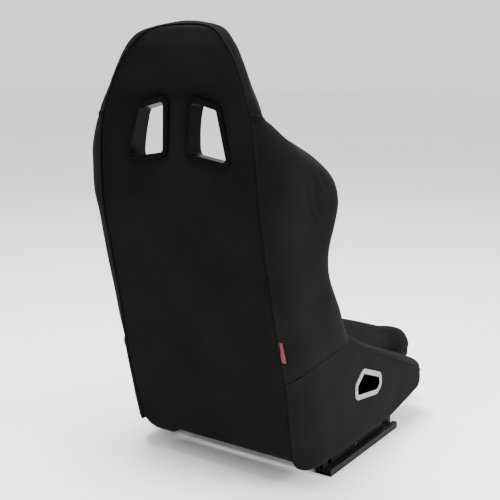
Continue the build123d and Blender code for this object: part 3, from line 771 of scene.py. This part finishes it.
def base_side(side):
    """The side of the base: its outline in (Y, Z), and X from how near the edges are."""
    tu = stations(600, 5, (True, False))
    tv = stations(215, 4)
    top = through(BASE_TOP, tu)
    low = through(BASE_LOW if side < 0 else LEFT_CORNER + BASE_LOW[4:], tu)
    y = low[:, 0] + (top[:, 0] - low[:, 0]) * tv[:, None]
    from_low = (top[:, 1] - low[:, 1]) * tv[:, None]
    z = low[:, 1] + from_low
    behind = look_up(REAR_Y, z) - y
    y = y + behind[:, :1] * np.exp((behind[:, :1] - behind) / 60)
    behind = np.maximum(look_up(REAR_Y, z) - y, 0)
    x_rear = look_up(SEAM_X, z)
    x = x_rear + (250 - x_rear) * (1 - np.exp(-behind / 21.0))
    hem = np.clip(1 - from_low / 14, 0, 1)
    x = x - (12 * (1 - np.sqrt(np.maximum(1 - hem ** 2, 0)))) * (1 - np.exp(-behind / 25))
    nose = np.clip((-254 - y) / 34, 0, 1)
    x = x - 13 * nose ** 2
    points = np.stack([x * side, y, z], axis=2)
    points = crumpled(points, 60.0, 1.8, out=side, seed=2.3 * side)
    return seamed(points, ("left", "high"), out=side)


def tag_sheet():
    """A woven label sewn in the right rear seam, lying forward over the side's corner."""
    points = np.zeros((23, 9, 3))
    for i, z in enumerate(np.linspace(299, 343, 23)):
        y_rear = look_up(REAR_Y, z)[0]
        for j, behind in enumerate(np.linspace(-1.0, 3.4, 9)):
            x = look_up(SEAM_X, z)[0] + 29 * (1 - math.exp(-max(behind, 0) / 12.0))
            curl = 2.2 + 2.0 * (j / 8) ** 2 + 0.5 * math.sin(i / 3.5)
            points[i, j] = (-x - 0.8 * curl, y_rear - behind + 0.6 * curl, z)
    return points


covers = []
sewing = []
for side, hand in HANDS:
    torso_points, base_points = torso_side(side), base_side(side)
    covers.append(panel(f"torso_side_{hand}", torso_points, out=side))
    for row, distance in ((1, 4.5), (2, 11.0)):
        line = edge_line(torso_points, "left", distance, side)
        line = line[int(0.62 * len(line)):] if row == 2 else line
        sewing.append(stitched(f"torso_stitches_{row}_{hand}", line))
    sewing.append(stitched(f"torso_low_stitches_{hand}",
                           edge_line(torso_points, "low", 5.5, side)))
    sewing.append(stitched(f"base_stitches_{hand}", edge_line(base_points, "left", 5.5, side)))
    line = edge_line(torso_points, "right", 38.0, side)
    sewing.append(welted(f"shoulder_welt_{hand}", line[int(0.70 * len(line)):-4]))
    base = panel(f"base_side_{hand}", base_points, out=side)
    cut(base, prism("cutter", BELT_HOLE, COVER_CUT, side * 225, side * 265, "X"))
    covers.append(base)
head_points = head_side()
covers.append(panel("head_side", head_points, out=1))
sewing.append(stitched("head_stitches", edge_line(head_points, "left", 5.5)))
sewing.append(stitched("neck_stitches_left", edge_line(head_points, "low", 4.5)))
sewing.append(stitched("neck_stitches_right", edge_line(head_points, "high", 4.5)))
tag = panel("label_tag", tag_sheet(), thickness=0.9, out=-1)
dress(tag, LABEL)
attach(tag, "seat")
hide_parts("side_tag")
for obj in sewing:
    dress(obj, CLOTH_SIDE if "welt" in obj.name else THREAD)
    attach(obj, "seat")
for obj in [rear, *covers]:
    dress(obj, CLOTH_SIDE)
    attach(obj, "seat")
# The rear panel gets the darker copy of the cloth, which paints in the shade it stands in.
dress(rear, CLOTH_REAR_PAINTED_SHADE)
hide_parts("rear_cover")


# ------------------------------------------------------------------ pads
def torso_bolster(side):
    """Foam behind the torso side: its inner face, from the sewn edge to the back pad."""
    loops = []
    tv = np.linspace(0, 1, 60)
    table = np.array(TORSO, float)
    rows = hermite(chord(table[:, :2]), table, tv)
    for z_rear, z_edge, x_rear, x_mid, x_edge, y_edge in rows:
        y_rear = look_up(REAR_Y, z_rear)[0]
        y_pad = look_up(FRONT_Y, z_edge)[0]
        valley = min(max(y_pad + 4, y_edge + 6), y_rear - 40)
        inner = min(150, x_edge - 55)
        ring = [(x_edge - 8, y_edge - 8), (x_edge - 22, y_edge - 17), (x_edge - 42, y_edge - 12),
                (0.5 * (x_edge - 45 + inner), 0.45 * y_edge + 0.55 * valley),
                (inner, valley), (inner + 2, valley + 26), (x_rear - 62, y_rear - 24),
                (x_rear - 22, y_rear - 20), (x_rear - 6, y_rear - 34),
                (x_mid - 6, y_rear - 0.5 * (y_rear - y_edge))]
        ring = np.array(ring + ring[:1])
        loop = through(ring, np.linspace(0, 1, 49))[:-1]
        tilt = (z_edge - z_rear) * np.clip((y_rear - loop[:, 1]) / (y_rear - y_edge), 0, 1)
        loops.append(np.c_[loop[:, 0] * side, loop[:, 1], z_rear + tilt])
    return loops


def thigh_bolster(side):
    """The thigh roll: a row of loops across it, from the back pad to the nose."""
    loops = []
    for y in np.r_[-304, -303, -301, -297, np.linspace(-292, 225, 80)]:
        low = 94.0 - 14 * math.exp(-((y + 200) / 60) ** 2)
        crest = max(look_up(CREST, y)[0], low + 22)
        seam = min(look_up(BASE_SEAM, y)[0], crest - 10)
        slim = max(np.clip((-232 - y) / 72, 0, 1), np.clip((y - 150) / 75, 0, 1)) ** 2
        drop = crest - low
        ring = [(239, low + 8), (240, seam - 0.4 * (seam - low)), (241, seam - 8),
                (247.5, seam + 1), (247.5, 0.5 * (seam + crest)), (241, crest - 2),
                (228, crest + 1), (208, crest - 1), (188, crest - 9),
                (173, crest - min(32, 0.36 * drop)), (168.5, crest - 0.62 * drop),
                (170, low + 5), (190, low), (230, low)]
        ring = np.array(ring + ring[:1], float)
        centre = np.array([207, low + 0.5 * drop])
        end = np.clip((-284 - y) / 20, 0, 1)
        ring = centre + (ring - centre) * (1 - np.array([0.16, 0.12]) * slim)
        ring = centre + (ring - centre) * math.sqrt(1 - (0.93 * end) ** 2)
        loop = through(ring, np.linspace(0, 1, 49))[:-1]
        loops.append(np.c_[loop[:, 0] * side, np.full(48, y), loop[:, 1]])
    return loops


def cushion():
    """Seat cushion: crowned across, full at the front lip, pinched in at its corners."""
    top = through(CUSHION_TOP, stations(560, 7, (False, False)))
    loops = []
    for y, z in top:
        low = 96 + 18 * np.clip((-300 - y) / 40, 0, 1)
        thick = max(z - low, 24)
        half = CUSHION_HALF + 20 * np.clip((-275 - y) / 35, 0, 1) ** 1.5
        crown = 5.0
        ring = [(-half, low + 0.5 * thick), (-half + 2, low + 0.86 * thick),
                (-half + 9, low + thick - 2), (-0.55 * half, low + thick + 0.6 * crown),
                (0, low + thick + crown), (0.55 * half, low + thick + 0.6 * crown),
                (half - 9, low + thick - 2), (half - 2, low + 0.86 * thick),
                (half, low + 0.5 * thick), (half - 2, low + 0.16 * thick), (half - 10, low + 2),
                (half - 24, low), (0.5 * half, low), (-0.5 * half, low), (-half + 24, low),
                (-half + 10, low + 2), (-half + 2, low + 0.16 * thick)]
        ring = np.array(ring + ring[:1], float)
        loop = through(ring, np.linspace(0, 1, 97))[:-1]
        loops.append(np.c_[loop[:, 0], np.full(96, y), loop[:, 1]])
    return loops


def back_pad():
    """Back pad: loops across it at rising heights, front crowned, sides tucked behind."""
    loops = []
    for z in np.linspace(128, 672, 90):
        y = look_up(FRONT_Y, z)[0] + 6
        rear_y = look_up(REAR_Y, z)[0] - 30
        depth = min(rear_y - y, 62)
        half = 158
        pinch = 0.5 * (1 - math.cos(2 * math.pi * (z - 128) / 181.4)) ** 0.7
        crown = 3 + 7 * pinch
        ring = [(-half, y + 20), (-half + 12, y + 5), (-0.55 * half, y - 0.6 * crown),
                (0, y - crown), (0.55 * half, y - 0.6 * crown), (half - 12, y + 5),
                (half, y + 20), (half - 3, y + depth - 6), (half - 18, y + depth),
                (0, y + depth), (-half + 18, y + depth), (-half + 3, y + depth - 6)]
        ring = np.array(ring + ring[:1], float)
        loop = through(ring, np.linspace(0, 1, 97))[:-1]
        loops.append(np.c_[loop[:, 0], loop[:, 1], np.full(96, z)])
    return loops


def headrest_pad():
    """Headrest: loops across it, narrowing to the crown, front crowned."""
    edge = np.array([row[2] for row in HEAD], float)
    loops = []
    for z in np.linspace(678, 934, 56):
        if z < edge[0, 2]:
            half, y_edge = 160 + 22 * (z - 678) / 100, 318 + 20 * (z - 678) / 100
        else:
            half = np.interp(z, edge[:, 2], edge[:, 0])
            y_edge = np.interp(z, edge[:, 2], edge[:, 1])
        half = max(half - 3, 14)
        front = look_up(FRONT_Y, z)[0] + 4
        back = max(look_up(REAR_Y, z)[0] - 12 - look_up(DISH, z)[0], y_edge + 14)
        ring = [(-half, y_edge + 8), (-half * 0.86, y_edge - 0.45 * (y_edge - front)),
                (-half * 0.5, front + 2), (0, front), (half * 0.5, front + 2),
                (half * 0.86, y_edge - 0.45 * (y_edge - front)), (half, y_edge + 8),
                (half * 0.97, back - 9), (half * 0.85, back - 2), (half * 0.6, back),
                (half * 0.2, back), (-half * 0.2, back), (-half * 0.6, back),
                (-half * 0.85, back - 2), (-half * 0.97, back - 9)]
        ring = np.array(ring + ring[:1], float)
        loop = through(ring, np.linspace(0, 1, 97))[:-1]
        loops.append(np.c_[loop[:, 0], loop[:, 1], np.full(96, z)])
    return loops


# Each pad by the node that it stands for, with the voxel size of its mesh in mm.
pads = {}
for side, hand in HANDS:
    pads[f"torso_bolster_{hand}"] = (tube_form(f"torso_roll_{hand}", torso_bolster(side)), 5)
    pads[f"thigh_bolster_{hand}"] = (tube_form(f"thigh_roll_{hand}", thigh_bolster(side)), 5)
pads["seat_cushion"] = (tube_form("cushion", cushion()), 6)
pads["back_pad"] = (tube_form("back_cushion", back_pad()), 6)
pads["headrest_pad"] = (tube_form("headrest", headrest_pad()), 5)
for node, (pad, voxel) in pads.items():
    puffed(pad, voxel, 2.5 if "bolster" in node else 5.0)
    if node == "headrest_pad":
        for side, _ in HANDS:
            outline = harness_outline(side)
            cut(pad, prism("cutter", outline, FOAM_CUT, 230, 430, "Y"))
            cut(pad, prism("cutter", outline, -0.5, 230, 359, "Y", HARNESS_LEAN))
    if node.startswith("thigh"):
        side = 1 if node.endswith("left") else -1
        cut(pad, prism("cutter", BELT_HOLE, FOAM_CUT, side * 150, side * 270, "X"))
    dress(pad, CLOTH_PAD)
    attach(pad, "seat")
    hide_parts(node)


# ------------------------------------------------------------------ stage, light, camera
def stage_material():
    material, tree, shader = node_material("floor_white")
    place = add_node(tree, "ShaderNodeTexCoord")
    drift = add_node(tree, "ShaderNodeTexNoise", Scale=0.6)
    link(tree, place, "Object", drift, "Vector")
    mix = colour_mix(tree, grey(0.93), grey(0.95), drift, "Fac")
    link(tree, mix, 2, shader, "Base Color")
    shader.inputs["Roughness"].default_value = 0.8
    return material


floor = new_object("floor", [(-30, -30, 0), (30, -30, 0), (30, 30, 0), (-30, 30, 0)],
                   [[0, 1, 2, 3]])
dress(floor, stage_material())

world = bpy.data.worlds.new("studio")
bpy.context.scene.world = world
world.use_nodes = True
sky = world.node_tree.nodes["Background"]
sky.inputs["Color"].default_value = (1.0, 1.0, 1.0, 1)
sky.inputs["Strength"].default_value = 1.35


def area_light(name, place, target, power, size):
    data = bpy.data.lights.new(name, "AREA")
    data.energy = power
    data.size = size
    light = bpy.data.objects.new(name, data)
    light.location = place
    light.rotation_euler = (Vector(target) - Vector(place)).to_track_quat("-Z", "Y").to_euler()
    bpy.context.scene.collection.objects.link(light)


area_light("key", (-3.2, -0.4, 2.2), (0, 0.1, 0.5), 170, 1.6)
area_light("low", (-2.6, 0.9, 0.45), (-0.25, 0.05, 0.15), 34, 1.0)
area_light("top", (0.2, 0.4, 3.2), (0, 0.2, 0.5), 240, 1.4)

camera_data = bpy.data.cameras.new("camera")
camera_data.lens = 63.84
camera_data.sensor_width = 36.0
camera = bpy.data.objects.new("camera", camera_data)
bpy.context.scene.collection.objects.link(camera)
camera.location = (-1.1112, 1.7463, 0.8694)
aim = Vector((0.0, 0.130, 0.4718)) - camera.location
camera.rotation_euler = aim.to_track_quat("-Z", "Y").to_euler()
bpy.context.scene.camera = camera
